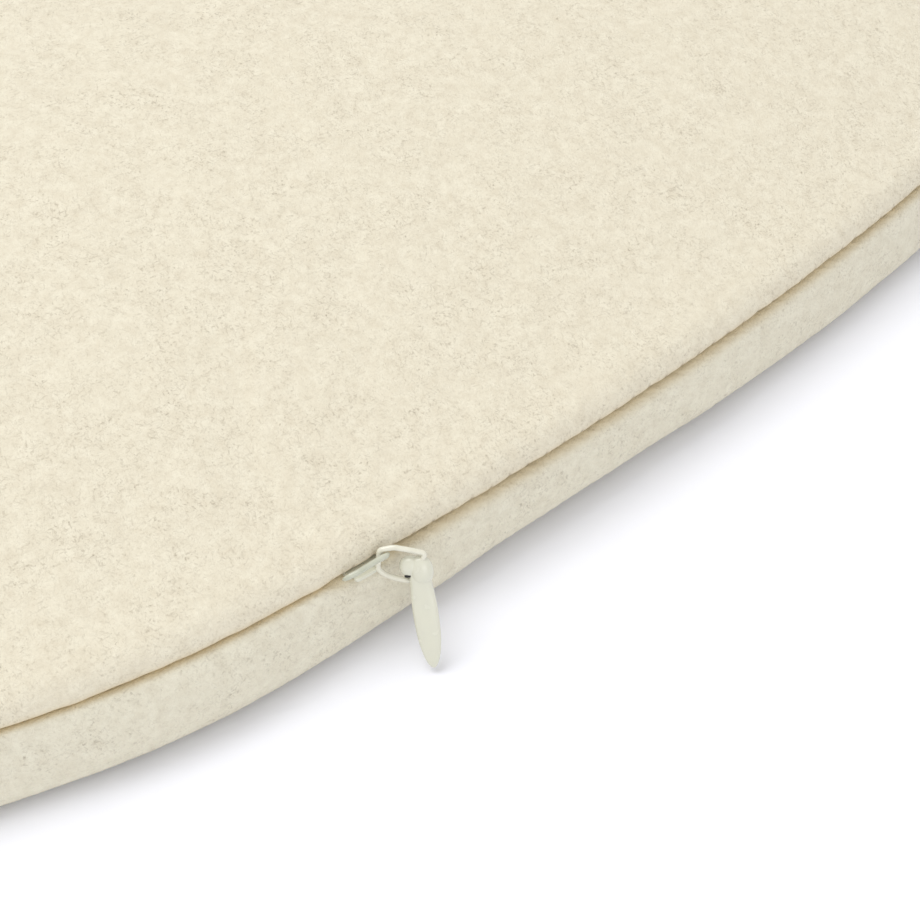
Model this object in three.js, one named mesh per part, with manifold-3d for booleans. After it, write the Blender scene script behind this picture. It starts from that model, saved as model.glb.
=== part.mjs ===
// Lumbar support cushion: a domed foam pad in an inner liner and a zipped wool felt cover.
// Millimetres, +Z up. It lies on its flat back, with the domed front up. X runs along the length,
// Y across the width, and the zip is in the seam on the -Y side. The origin is the middle of the
// back face.
import * as THREE from 'three';
import { LoftGeometry } from 'three/addons/geometries/LoftGeometry.js';
import { mergeGeometries, mergeVertices } from 'three/addons/utils/BufferGeometryUtils.js';
import Module from 'manifold-3d';

const wasm = await Module();
wasm.setup();

// ---------- driving dimensions ----------

// outline, seen from above
const length = 450;
const width = 320;
const longSideRadius = 820; // the middle of each long side, along which the zip runs
const shoulderRadius = 215;
const cornerRadius = 58;
const shortSideRadius = 640;

// heights
const thickness = 55;
const bandTop = 19; // the front seam
const bandBottom = 2.1; // the back seam
const bandBulge = 1.6;
const edgeRoll = 3.5; // how far the front panel rolls over before it joins the dome
const domeFullness = 2.2; // power of the dome's curve, flatter on top as it grows
const padRound = 2.5; // of the pad's lower edge
const backRound = 5; // how far in from the edge the back starts to turn up

// sheet materials
const felt = 1.8;
const linerCloth = 0.7;
const tapeCloth = 0.45;
const seamThread = 0.22; // radius

// clearances
const seamGap = 0.3; // between sewn edges
const layerGap = 0.45; // between layers that lie on each other
const foamGap = 0.8; // between the liner and the foam
const slideGap = 0.3; // between the slider and what it runs on

// zip
const zipLength = 208; // of the opening in the seam
const zipMouth = 1.6; // between the lips of the seam, over the zip
const zipEndRun = 12; // past each end of the zip, over which the lips close
const tapeOverrun = 2; // of the tape past each end of the opening
const tapeInset = 3.2; // from the seam's edge to the tape
const bandTapeDrop = 9; // how far the band's tape reaches down
const tapeSetback = 0.1; // of the tape's edge from the tips of the teeth
const tapeLay = [0.03, 0.06, 0.085]; // where the front tape lies on the panel, as shares inwards
const coilDepth = 1.3;
const coilHeight = 1;
const coilToothPitch = 4;
const coilToothCut = 0.5;
const toothShare = 0.5; // of the pitch
const coilParting = 1.4; // between the two rows of teeth
const coilEnd = 5; // from the end of the opening to the first tooth
const stopLength = 2.4;

// slider
const sliderLength = 9;
const sliderNeck = 0.8; // thickness of the web that passes between the teeth
const sliderNeckLength = 8.6;
const sliderNose = 0.6; // how far the web stands out of the seam
const sliderWall = 0.9;
const sliderFlange = 0.5;
const sliderGrip = 0.9; // how far the flanges reach over the teeth
const sliderStopGap = 0.8;

// bridge, ring and drop
const bridgeWire = 0.62; // radius
const bridgeSpan = 7.6;
const bridgeReach = 2.95; // outwards from the seam to the middle of the bar
const bridgeRise = 2.15;
const ringWire = 0.55; // radius
const ringSeatReach = 1.45; // where the ring passes under the bridge
const ringSeatRise = 1.1;
const ringSeatShift = 1.9;
const ringLength = 9.9;
const ringTop = 2.9;
const ringBottom = 2.6;
const ringBend = 0.85;
const ringYaw = 43; // degrees from the seam's own direction, outwards
const ringSlope = 4; // degrees down
const ringTilt = 14.5; // degrees that the ring's near side leans along the seam
const dropSeat = 7; // from the ring's near side to the middle of the drop's eye
const dropSeatLow = 0.9; // below the ring's middle line
const dropLength = 18.6; // from the eye's middle to the tip
const dropWidth = 4.7;
const dropNeckWidth = 3.7;
const dropWidestAt = 0.62; // share of the length
const dropTipRadius = 1.1;
const dropThick = 1.5;
const dropEdge = 0.3; // rounding of the blade's edge
const eyeRadius = 2.2;
const eyeBore = 1;
const eyeLength = 4.2;
const dropLeanOut = 21; // degrees from upright, away from the band
const dropLeanAlong = 7; // degrees from upright, against the seam's direction

// ---------- derived sizes ----------

const coverToLiner = felt + tapeCloth + 2 * layerGap;
const linerToFoam = coverToLiner + linerCloth + foamGap;
const domeRise = thickness - bandTop - edgeRoll;
const seamHalfGap = seamGap / 2;
const mouthLift = (zipMouth - seamGap) / 2;
const zipHalf = zipLength / 2;
const coilInset = tapeInset + tapeCloth + slideGap;
const sliderBack = coilInset + coilDepth + slideGap;
const sliderHalfHeight = coilParting / 2 + coilHeight + slideGap + sliderFlange;
const zipChannel = sliderBack + sliderWall + layerGap - coverToLiner;
const channelReach = 0.06; // share of the way to the middle over which the channel dies out
const linerSeamHeight = (bandTop + bandBottom) / 2;
const zipCentre = new THREE.Vector2(0, longSideRadius - width / 2);

// ---------- small helpers ----------

const degrees = Math.PI / 180;

function mesh(name, geometry, material) {
  const made = new THREE.Mesh(geometry, material);
  made.name = name;
  return made;
}

function middle(ring) {
  const sum = ring.reduce((total, place) => total.add(place), new THREE.Vector3());
  return sum.divideScalar(ring.length);
}

// which way a ring of places faces, by Newell's method
function facing(ring) {
  const normal = new THREE.Vector3();
  ring.forEach((here, i) => {
    const next = ring[(i + 1) % ring.length];
    normal.add(here.clone().cross(next));
  });
  return normal;
}

// A closed body from rings of points, which may wind either way; with loop it closes on itself.
function loft(rings, loop = false) {
  const ahead = middle(rings[1]).sub(middle(rings[0]));
  const wound = facing(rings[0]).dot(ahead) > 0 ? rings : rings.map((one) => one.toReversed());
  const sections = loop ? [...wound, wound[0]] : wound;
  return new LoftGeometry(sections, { closed: true, capStart: !loop, capEnd: !loop });
}

function toSolid(geometry) {
  const bare = geometry.index ? geometry.toNonIndexed() : geometry.clone();
  bare.deleteAttribute('normal');
  bare.deleteAttribute('uv');
  const merged = mergeVertices(bare, 1e-4);
  const vertProperties = new Float32Array(merged.attributes.position.array);
  const triVerts = new Uint32Array(merged.index.array);
  return new wasm.Manifold(new wasm.Mesh({ numProp: 3, vertProperties, triVerts }));
}

function fromSolid(solid) {
  const made = solid.getMesh();
  const geometry = new THREE.BufferGeometry();
  geometry.setAttribute('position', new THREE.BufferAttribute(made.vertProperties, 3));
  geometry.setIndex(new THREE.BufferAttribute(made.triVerts, 1));
  return geometry;
}

// ---------- the outline ----------

// A quarter of the outline is four arcs that run into each other: long side, shoulder, corner
// and short side. A direction is measured from -Y towards +X, and is the outline's outward
// normal there.
const aim = (angle) => new THREE.Vector2(Math.sin(angle), -Math.cos(angle));
const longArc = { centre: zipCentre, radius: longSideRadius };
const shoulderStart = (zipHalf + zipEndRun) / longSideRadius;
const shoulderArc = {
  centre: zipCentre.clone().addScaledVector(aim(shoulderStart), longSideRadius - shoulderRadius),
  radius: shoulderRadius,
};
const shortArc = { centre: new THREE.Vector2(length / 2 - shortSideRadius, 0), radius: shortSideRadius };
const cornerArc = { centre: cornerCentre(), radius: cornerRadius };
const cornerStart = directionTo(shoulderArc.centre, cornerArc.centre);
const cornerEnd = directionTo(shortArc.centre, cornerArc.centre);

// the corner's circle lies inside the shoulder's and the short side's, and touches both
function cornerCentre() {
  const between = shortArc.centre.clone().sub(shoulderArc.centre);
  const gap = between.length();
  const fromShoulder = shoulderRadius - cornerRadius;
  const fromShort = shortSideRadius - cornerRadius;
  const along = (fromShoulder ** 2 - fromShort ** 2 + gap ** 2) / (2 * gap);
  const across = Math.sqrt(fromShoulder ** 2 - along ** 2);
  between.normalize();
  const sideways = new THREE.Vector2(-between.y, between.x);
  return shoulderArc.centre.clone().addScaledVector(between, along).addScaledVector(sideways, across);
}

function directionTo(from, to) {
  return Math.atan2(to.x - from.x, from.y - to.y);
}

// a point of an arc, with its outward direction and how far the zip's mouth is open there
function station(arc, angle, mouth = 0) {
  const out = aim(angle);
  return { at: arc.centre.clone().addScaledVector(out, arc.radius), out, mouth };
}

function quarterOutline() {
  const zipEnd = zipHalf / longSideRadius;
  const spans = [
    { arc: longArc, from: 0, to: zipEnd, steps: 5, mouth: 1 },
    { arc: longArc, from: zipEnd, to: shoulderStart, steps: 1, mouth: 1 },
    { arc: shoulderArc, from: shoulderStart, to: cornerStart, steps: 4, mouth: 0 },
    { arc: cornerArc, from: cornerStart, to: cornerEnd, steps: 5, mouth: 0 },
    { arc: shortArc, from: cornerEnd, to: Math.PI / 2, steps: 3, mouth: 0 },
  ];
  const stations = [];
  for (const span of spans) {
    for (let i = 0; i < span.steps; i++) {
      const angle = THREE.MathUtils.lerp(span.from, span.to, i / span.steps);
      stations.push(station(span.arc, angle, span.mouth));
    }
  }
  stations.push(station(shortArc, Math.PI / 2));
  return stations;
}

function mirrored(one, signX, signY, mouth) {
  const flip = new THREE.Vector2(signX, signY);
  return { at: one.at.clone().multiply(flip), out: one.out.clone().multiply(flip), mouth };
}

// the whole outline, counter-clockwise from the middle of the -Y side
function wholeOutline() {
  const quarter = quarterOutline();
  const back = quarter.toReversed();
  return [
    ...quarter,
    ...back.slice(1).map((one) => mirrored(one, 1, -1, 0)),
    ...quarter.slice(1).map((one) => mirrored(one, -1, -1, 0)),
    ...back.slice(1, -1).map((one) => mirrored(one, -1, 1, one.mouth)),
  ];
}

const outline = wholeOutline();

// A ring of the outline moved in by an inset. Near the edge it is parallel to the outline, and
// further in it shrinks towards the middle.
function ring(profile) {
  return outline.map((one) => {
    const { inset, height } = profile(one);
    const share = inset / (width / 2);
    const pull = THREE.MathUtils.smoothstep(share, 0.04, 0.4);
    const parallel = one.at.clone().addScaledVector(one.out, -inset);
    const shrunk = one.at.clone().multiplyScalar(1 - share);
    const place = parallel.lerp(shrunk, pull);
    return new THREE.Vector3(place.x, place.y, height);
  });
}

// ---------- the domed front, and the layers under it ----------

const domeShares = [0, 0.0035, 0.01, 0.025, 0.08, 0.2, 0.42, 0.7];
const crownShare = domeShares.at(-1);

// height of the front above its own edge, at a share of the way to the middle
function domeHeight(share) {
  const rolled = Math.min(1, (share * width) / 2 / edgeRoll);
  const roll = edgeRoll * Math.sqrt(1 - (1 - rolled) ** 2);
  const full = 1 - (1 - crownShare) ** domeFullness;
  return roll + (domeRise * (1 - (1 - share) ** domeFullness)) / full;
}

// a point of the front's section, moved in by a depth square to the surface
function domePoint(share, depth, mouth) {
  const edge = bandTop + seamHalfGap + mouth * mouthLift;
  const stretch = (thickness - edge) / domeHeight(crownShare);
  const step = 1e-4;
  const run = (step * width) / 2;
  const climb = (domeHeight(share + step) - domeHeight(share)) * stretch;
  const steep = share === 0 ? Math.PI / 2 : Math.atan2(climb, run);
  return {
    inset: (share * width) / 2 + depth * Math.sin(steep),
    height: edge + domeHeight(share) * stretch - depth * Math.cos(steep),
  };
}

function domeRings(depth, channel = 0) {
  return domeShares.map((share) => ring((one) => {
    const point = domePoint(share, depth, one.mouth);
    const hollow = channel * one.mouth * Math.max(0, 1 - share / channelReach);
    return { inset: point.inset + hollow, height: point.height };
  }));
}

// an upright ring of the pad's side, pushed in behind the zip
function sideRing(inset, height) {
  return ring((one) => ({ inset: inset + zipChannel * one.mouth, height }));
}

// a flat face across a ring of places, facing up or down
function flatFace(ring, up) {
  const corners = ring.map((place) => new THREE.Vector2(place.x, place.y));
  const faces = THREE.ShapeUtils.triangulateShape(corners, []);
  const places = faces.flatMap(([a, b, c]) => (up ? [a, b, c] : [a, c, b]).map((i) => ring[i]));
  return new THREE.BufferGeometry().setFromPoints(places);
}

// A bowl, tray or plate: its rings run from the middle of the face that looks down, over the rim,
// to the middle of the face that looks up.
function bowl(rings) {
  const wall = new LoftGeometry(rings, { closed: true }).toNonIndexed();
  wall.deleteAttribute('normal');
  wall.deleteAttribute('uv');
  return mergeGeometries([wall, flatFace(rings[0], false), flatFace(rings.at(-1), true)]);
}

function frontPanel() {
  return bowl([...domeRings(felt).toReversed(), ...domeRings(0)]);
}

// the band's section leans out in a shallow bow between its two seams
function borderBand() {
  const steps = 4;
  const wall = (depth, share) => ring((one) => {
    const top = bandTop - seamHalfGap - one.mouth * mouthLift;
    const height = THREE.MathUtils.lerp(bandBottom, top, share);
    return { inset: depth - bandBulge * Math.sin(Math.PI * share), height };
  });
  const shares = Array.from({ length: steps + 1 }, (_, i) => i / steps);
  const outer = shares.map((share) => wall(0, share));
  const inner = shares.toReversed().map((share) => wall(felt, share));
  return loft([...outer, ...inner], true);
}

function backPanel() {
  const flat = (inset, height) => ring(() => ({ inset, height }));
  const top = bandBottom - seamGap;
  return bowl([
    flat(backRound, 0),
    flat(backRound / 4, backRound / 12),
    flat(0, top),
    flat(width / 4, top),
  ]);
}

function linerFront() {
  const hem = linerSeamHeight + seamHalfGap;
  const inside = coverToLiner + linerCloth;
  return bowl([
    ...domeRings(inside, zipChannel).toReversed(),
    sideRing(inside, hem),
    sideRing(coverToLiner, hem),
    ...domeRings(coverToLiner, zipChannel),
  ]);
}

function linerBack() {
  const hem = linerSeamHeight - seamHalfGap;
  const floor = bandBottom - seamGap + layerGap;
  const tray = (inset, base) => [
    sideRing(inset + padRound, base),
    sideRing(inset, base + padRound),
    sideRing(inset, hem),
  ];
  const inside = tray(coverToLiner + linerCloth, floor + linerCloth);
  return bowl([...tray(coverToLiner, floor), ...inside.toReversed()]);
}

function foamCore() {
  const floor = bandBottom - seamGap + layerGap + linerCloth + foamGap;
  return loft([
    sideRing(linerToFoam + padRound, floor),
    sideRing(linerToFoam, floor + padRound),
    ...domeRings(linerToFoam, zipChannel),
  ]);
}

// ---------- threads ----------

// a square cord round the outline, along a ring of places
function threadRings(inset, height) {
  const corners = [[1, 0], [0, 1], [-1, 0], [0, -1]];
  return corners.map(([across, up]) => ring((one) => ({
    inset: inset(one) - across * seamThread,
    height: height + up * seamThread,
  })));
}

function closedThread(inset, height) {
  return loft(threadRings(inset, height), true);
}

// the front seam's thread stops at both ends of the zip
function openThread(inset, height) {
  const rings = threadRings(inset, height);
  const sewn = outline.flatMap((one, i) => (one.mouth > 0 ? [] : [i]));
  return loft(sewn.map((i) => rings.map((places) => places[i])));
}

// ---------- zip ----------

// a place on the zip: along the seam from its middle, outwards from the seam's edge, and up
function zipPlace(along, outwards, height) {
  const angle = along / longSideRadius;
  const place = zipCentre.clone().addScaledVector(aim(angle), longSideRadius + outwards);
  return new THREE.Vector3(place.x, place.y, bandTop + height);
}

// a section of [inset, height] corners carried along the zip
function zipSweep(section, from, to, steps) {
  const rings = [];
  for (let i = 0; i <= steps; i++) {
    const along = THREE.MathUtils.lerp(from, to, i / steps);
    rings.push(section.map(([inset, height]) => zipPlace(along, -inset, height)));
  }
  return loft(rings);
}

function zipBox(from, to, inset, depth, low, high) {
  const behind = inset + depth;
  return zipSweep([[inset, low], [inset, high], [behind, high], [behind, low]], from, to, 1);
}

const tapeHalf = zipHalf + tapeOverrun;
const tapeEdge = coilParting / 2 + tapeSetback;
const tapeSteps = 14;

// the front tape stands behind the teeth and then lies along the underside of the front panel
function zipTapeFront() {
  const turn = sliderHalfHeight + slideGap;
  const face = (side) => tapeLay.map((share) => {
    const point = domePoint(share, felt + layerGap + side * tapeCloth, 1);
    return [point.inset, point.height - bandTop];
  });
  const behind = tapeInset + tapeCloth;
  const outer = [[tapeInset, tapeEdge], [tapeInset, turn], ...face(0)];
  const inner = [...face(1).toReversed(), [behind, turn - tapeCloth / 3], [behind, tapeEdge]];
  return zipSweep([...outer, ...inner], -tapeHalf, tapeHalf, tapeSteps);
}

function zipTapeBand() {
  const section = [
    [tapeInset, -bandTapeDrop],
    [tapeInset, -tapeEdge],
    [tapeInset + tapeCloth, -tapeEdge],
    [tapeInset + tapeCloth, -bandTapeDrop],
  ];
  return zipSweep(section, -tapeHalf, tapeHalf, tapeSteps);
}

const coilStart = -zipHalf + coilEnd;
const teeth = Math.floor((zipLength - 2 * coilEnd) / coilToothPitch);
const coilStop = coilStart + teeth * coilToothPitch;

// a row of teeth: a bar behind the tape, with a notch between each tooth and the next
function zipCoil(side) {
  const root = side * (coilParting / 2 + coilHeight);
  const crest = (side * coilParting) / 2;
  const notch = crest + side * coilToothCut;
  const behind = coilInset + coilDepth;
  const cut = (along, edge) => [[coilInset, edge], [behind, edge], [behind, root], [coilInset, root]]
    .map(([inset, height]) => zipPlace(along, -inset, height));
  const rings = [];
  for (let i = 0; i < teeth; i++) {
    const start = coilStart + i * coilToothPitch;
    rings.push(cut(start, crest));
    rings.push(cut(start + toothShare * coilToothPitch, crest));
    rings.push(cut(start + ((1 + toothShare) / 2) * coilToothPitch, notch));
  }
  rings.push(cut(coilStop, crest));
  return loft(rings);
}

function topStop(side) {
  const crest = (side * coilParting) / 2;
  const root = crest + side * coilHeight;
  const end = coilStart - slideGap;
  return zipBox(end - stopLength, end, coilInset, coilDepth, crest, root);
}

function bottomStop() {
  const half = coilParting / 2 + coilHeight;
  const start = coilStop + slideGap;
  return zipBox(start, start + stopLength, coilInset, coilDepth, -half, half);
}

// ---------- slider ----------

const sliderRest = coilStart + sliderStopGap + sliderLength / 2;

// The slider's own frame: x along the zip, y into the cushion, z up, on the seam's edge.
const sliderFrame = new THREE.Group();
sliderFrame.position.copy(zipPlace(sliderRest, 0, 0));
sliderFrame.rotation.z = sliderRest / longSideRadius;

function centredBox(x, y0, y1, z0, z1) {
  const box = new THREE.BoxGeometry(x, y1 - y0, z1 - z0);
  return toSolid(box.translate(0, (y0 + y1) / 2, (z0 + z1) / 2));
}

// a back plate with two flanges round the teeth, and a web that comes out between them
function sliderBody() {
  const flangeStart = sliderBack - sliderGrip;
  const flangeLow = sliderHalfHeight - sliderFlange;
  const back = sliderBack + sliderWall;
  const plate = centredBox(sliderLength, sliderBack, back, -sliderHalfHeight, sliderHalfHeight);
  const above = centredBox(sliderLength, flangeStart, back, flangeLow, sliderHalfHeight);
  const below = centredBox(sliderLength, flangeStart, back, -sliderHalfHeight, -flangeLow);
  const web = centredBox(sliderNeckLength, -sliderNose, back, -sliderNeck / 2, sliderNeck / 2);
  return fromSolid(plate.add(above).add(below).add(web));
}

// round wire along a path of straight stretches whose corners are rounded
function wirePath(points, bend, loop) {
  const path = new THREE.CurvePath();
  const count = points.length;
  const trimmed = (from, to) => {
    const way = to.clone().sub(from);
    return from.clone().addScaledVector(way.normalize(), bend);
  };
  const last = loop ? count : count - 1;
  for (let i = 0; i < last; i++) {
    const here = points[i];
    const next = points[(i + 1) % count];
    const start = !loop && i === 0 ? here : trimmed(here, next);
    const end = !loop && i === last - 1 ? next : trimmed(next, here);
    path.add(new THREE.LineCurve3(start, end));
    if (loop || i < last - 1) {
      const after = points[(i + 2) % count];
      path.add(new THREE.QuadraticBezierCurve3(end, next, trimmed(next, after)));
    }
  }
  return path;
}

const bendSteps = 3;

function wire(points, bend, radius, sides, loop) {
  const path = wirePath(points, bend, loop);
  const places = [];
  const tangents = [];
  for (const curve of path.curves) {
    const steps = curve.isLineCurve3 ? 1 : bendSteps;
    for (let i = 0; i < steps; i++) {
      places.push(curve.getPoint(i / steps));
      tangents.push(curve.getTangent(i / steps));
    }
  }
  if (!loop) {
    places.push(path.curves.at(-1).getPoint(1));
    tangents.push(path.curves.at(-1).getTangent(1));
  }
  // each wire is bent in one plane, and that plane's normal orients its sections
  const turned = tangents.find((one) => one.angleTo(tangents[0]) > 0.3);
  const normal = tangents[0].clone().cross(turned).normalize();
  const rings = places.map((place, i) => {
    const side = normal.clone().cross(tangents[i]).normalize();
    return Array.from({ length: sides }, (_, j) => {
      const turn = (2 * Math.PI * j) / sides;
      return place.clone()
        .addScaledVector(side, -radius * Math.cos(turn))
        .addScaledVector(normal, radius * Math.sin(turn));
    });
  });
  return loft(rings, loop);
}

function sliderBridge() {
  const legSlope = Math.atan2(bridgeRise, bridgeReach - sliderNose);
  const foot = sliderNose + slideGap + bridgeWire * Math.sin(legSlope);
  const footRise = (foot - sliderNose) * Math.tan(legSlope);
  const half = bridgeSpan / 2;
  const path = [
    new THREE.Vector3(-half, -foot, footRise),
    new THREE.Vector3(-half, -bridgeReach, bridgeRise),
    new THREE.Vector3(half, -bridgeReach, bridgeRise),
    new THREE.Vector3(half, -foot, footRise),
  ];
  return wire(path, ringBend, bridgeWire, 8, false);
}

// ---------- pull: a ring under the bridge, and a drop on the ring ----------

// directions in the slider's frame
const ringAlong = new THREE.Vector3(
  Math.cos(ringYaw * degrees) * Math.cos(ringSlope * degrees),
  -Math.sin(ringYaw * degrees) * Math.cos(ringSlope * degrees),
  -Math.sin(ringSlope * degrees),
);
const ringLean = new THREE.Vector3(Math.sin(ringTilt * degrees), 0, Math.cos(ringTilt * degrees));
const ringUp = ringLean.clone().addScaledVector(ringAlong, -ringLean.dot(ringAlong)).normalize();
const dropDown = new THREE.Vector3(
  -Math.sin(dropLeanAlong * degrees),
  -Math.sin(dropLeanOut * degrees),
  -Math.sqrt(1 - Math.sin(dropLeanAlong * degrees) ** 2 - Math.sin(dropLeanOut * degrees) ** 2),
);
const ringFacing = ringAlong.clone().cross(ringUp);
const dropAxis = ringFacing.clone().cross(dropDown).normalize();
const dropFacing = dropAxis.clone().cross(dropDown);
const ringPivot = new THREE.Vector3(ringSeatShift, -ringSeatReach, ringSeatRise);
const inRing = (along, up) => ringPivot.clone().addScaledVector(ringAlong, along).addScaledVector(ringUp, up);
const dropPivot = inRing(dropSeat, -dropSeatLow);

// the ring's last side, on which the drop hangs, is square to the drop
function pullRing() {
  const seatSlope = dropAxis.dot(ringUp) / dropAxis.dot(ringAlong);
  const seatAt = (along) => inRing(along, -dropSeatLow + (along - dropSeat) * seatSlope);
  const seatRun = eyeLength / 2 + ringBend;
  const corners = [
    inRing(0, ringTop),
    inRing(0, -ringBottom),
    seatAt(dropSeat - seatRun),
    seatAt(dropSeat + seatRun),
    inRing(ringLength, ringTop),
  ];
  return wire(corners, ringBend, ringWire, 8, true);
}

// a folded drop: an eye on the ring, and a blade that widens and then runs to a round tip
function pullDrop() {
  const widest = dropLength * dropWidestAt;
  const blade = new THREE.Shape();
  blade.moveTo(-dropNeckWidth / 2, 0);
  blade.lineTo(dropNeckWidth / 2, 0);
  blade.bezierCurveTo(dropNeckWidth / 2, widest / 2, dropWidth / 2, widest / 2, dropWidth / 2, widest);
  const tipSide = dropLength - dropTipRadius;
  blade.quadraticCurveTo(dropWidth / 2, tipSide - dropTipRadius, dropTipRadius, tipSide);
  blade.quadraticCurveTo(0, dropLength + dropTipRadius, -dropTipRadius, tipSide);
  blade.quadraticCurveTo(-dropWidth / 2, tipSide - dropTipRadius, -dropWidth / 2, widest);
  blade.bezierCurveTo(-dropWidth / 2, widest / 2, -dropNeckWidth / 2, widest / 2, -dropNeckWidth / 2, 0);
  const depth = dropThick - 2 * dropEdge;
  const plate = new THREE.ExtrudeGeometry(blade, {
    depth,
    curveSegments: 4,
    bevelEnabled: true,
    bevelThickness: dropEdge,
    bevelSize: dropEdge,
    bevelOffset: -dropEdge,
    bevelSegments: 1,
  });
  plate.translate(0, 0, -depth / 2);
  const eye = new THREE.CylinderGeometry(eyeRadius, eyeRadius, eyeLength, 20).rotateZ(Math.PI / 2);
  const bore = new THREE.CylinderGeometry(eyeBore, eyeBore, 2 * eyeLength, 12).rotateZ(Math.PI / 2);
  const solid = toSolid(plate).add(toSolid(eye)).subtract(toSolid(bore));
  const turn = new THREE.Matrix4().makeBasis(dropAxis, dropDown, dropFacing);
  return fromSolid(solid).applyMatrix4(turn.setPosition(dropPivot));
}

// ---------- materials ----------

const paint = (color, roughness, metalness = 0) =>
  new THREE.MeshStandardMaterial({ color, roughness, metalness });
const woolFelt = paint('#dfd7c4', 0.95);
const woolFeltBand = paint('#dad6c6', 0.95);
const linerCotton = paint('#efece4', 0.9);
const foam = paint('#e9e2b8', 0.85);
const thread = paint('#b9a888', 0.8);
const tapeWeave = paint('#cfc6b2', 0.85);
const nylonCoil = paint('#d8d0bc', 0.5);
const enamel = paint('#e4e3d4', 0.3, 0.2);
const steelWire = paint('#bcc1b4', 0.3, 0.8);

// ---------- assembly ----------

const behindFelt = () => felt + seamGap + seamThread;
const beyondLiner = (one) => coverToLiner - seamGap - seamThread + zipChannel * one.mouth;
const cushion = new THREE.Group();
cushion.add(
  mesh('front_panel', frontPanel(), woolFelt),
  mesh('border_band', borderBand(), woolFeltBand),
  mesh('back_panel', backPanel(), woolFelt),
  mesh('liner_front', linerFront(), linerCotton),
  mesh('liner_back', linerBack(), linerCotton),
  mesh('foam_core', foamCore(), foam),
  mesh('front_seam_thread', openThread(behindFelt, bandTop), thread),
  mesh('back_seam_thread', closedThread(behindFelt, bandBottom + seamThread), thread),
  mesh('liner_seam_thread', closedThread(beyondLiner, linerSeamHeight), thread),
  mesh('zip_tape_front', zipTapeFront(), tapeWeave),
  mesh('zip_tape_band', zipTapeBand(), tapeWeave),
  mesh('zip_coil_front', zipCoil(1), nylonCoil),
  mesh('zip_coil_band', zipCoil(-1), nylonCoil),
  mesh('zip_top_stop_front', topStop(1), nylonCoil),
  mesh('zip_top_stop_band', topStop(-1), nylonCoil),
  mesh('zip_bottom_stop', bottomStop(), nylonCoil),
);
sliderFrame.add(
  mesh('slider_body', sliderBody(), enamel),
  mesh('slider_bridge', sliderBridge(), steelWire),
  mesh('pull_ring', pullRing(), steelWire),
  mesh('pull_drop', pullDrop(), enamel),
);
cushion.add(sliderFrame);

export default cushion;
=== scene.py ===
import math

import bpy
import numpy as np
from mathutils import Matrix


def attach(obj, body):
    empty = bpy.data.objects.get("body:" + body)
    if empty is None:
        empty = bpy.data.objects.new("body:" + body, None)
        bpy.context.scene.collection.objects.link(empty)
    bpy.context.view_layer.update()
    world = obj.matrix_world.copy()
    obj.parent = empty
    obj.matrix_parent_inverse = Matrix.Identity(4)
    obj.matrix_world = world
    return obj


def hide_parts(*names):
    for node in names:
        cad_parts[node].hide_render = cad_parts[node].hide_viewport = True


# A domed lumbar support cushion in cream wool felt, with a concealed zip along one long edge.
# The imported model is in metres; shapes here are worked out in millimetres and scaled at the end.
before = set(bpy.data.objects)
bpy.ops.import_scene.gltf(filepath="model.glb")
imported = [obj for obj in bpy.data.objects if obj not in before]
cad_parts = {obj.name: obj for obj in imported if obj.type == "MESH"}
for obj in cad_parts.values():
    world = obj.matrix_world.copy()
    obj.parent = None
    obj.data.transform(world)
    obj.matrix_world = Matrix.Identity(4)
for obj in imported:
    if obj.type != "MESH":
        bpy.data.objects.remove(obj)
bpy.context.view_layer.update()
mm = 0.001

# ---- small helpers ----


def soft(low, high, value):
    # 0 below low and 1 above high, with a soft start and end
    share = np.clip((value - low) / (high - low), 0, 1)
    return share * share * (3 - 2 * share)


def mix(a, b, share):
    return a + (b - a) * share


def aim(angle):
    # the direction at an angle from -Y towards +X
    return np.stack([np.sin(angle), -np.cos(angle)], axis=-1)


def unit(vector):
    return vector / np.linalg.norm(vector, axis=-1, keepdims=True)


def linearColour(hexColour):
    # sRGB hex to linear light, as shaders expect
    values = np.array([int(hexColour[i : i + 2], 16) / 255 for i in (1, 3, 5)])
    linear = np.where(values <= 0.04045, values / 12.92, ((values + 0.055) / 1.055) ** 2.4)
    return (*linear.tolist(), 1)


def meshPiece(name, body, points, faces, material, marks=None):
    # points in millimetres become one object at the origin that rides on a body; marks gives
    # each point named values, such as how deep in a seam it lies and so how much painted shade it takes
    data = bpy.data.meshes.new(name)
    data.from_pydata((np.asarray(points, float) * mm).tolist(), [], [list(face) for face in faces])
    data.polygons.foreach_set("use_smooth", np.full(len(data.polygons), True))
    for key, values in (marks or {}).items():
        data.attributes.new(key, "FLOAT", "POINT").data.foreach_set("value", values.astype(np.float32))
    data.update()
    piece = bpy.data.objects.new(name, data)
    bpy.context.scene.collection.objects.link(piece)
    data.materials.append(material)
    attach(piece, body)
    return piece


def gridFaces(rows, columns, wrapRows=False):
    # quads of a grid whose points are numbered row by row and whose columns close round
    down, across = np.arange(rows if wrapRows else rows - 1), np.arange(columns)
    row, column = np.meshgrid(down, across, indexing="ij")
    below, beside = (row + 1) % rows, (column + 1) % columns
    places = ((row, column), (row, beside), (below, beside), (below, column))
    return np.stack([a * columns + b for a, b in places], axis=-1).reshape(-1, 4).tolist()


def fan(rows, columns, middle, last):
    # the triangles that close a grid's first or last row to one middle point
    column = np.arange(columns)
    row = (rows - 1) * columns if last else 0
    ends = [row + column, row + (column + 1) % columns][:: 1 if last else -1]
    return np.stack([*ends, np.full(columns, middle)], axis=-1).tolist()


def cappedFaces(rows, columns):
    # a grid closed at both ends to two middle points, which are numbered after its own
    count = rows * columns
    ends = [*fan(rows, columns, count, False), *fan(rows, columns, count + 1, True)]
    return [*gridFaces(rows, columns), *ends]


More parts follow.
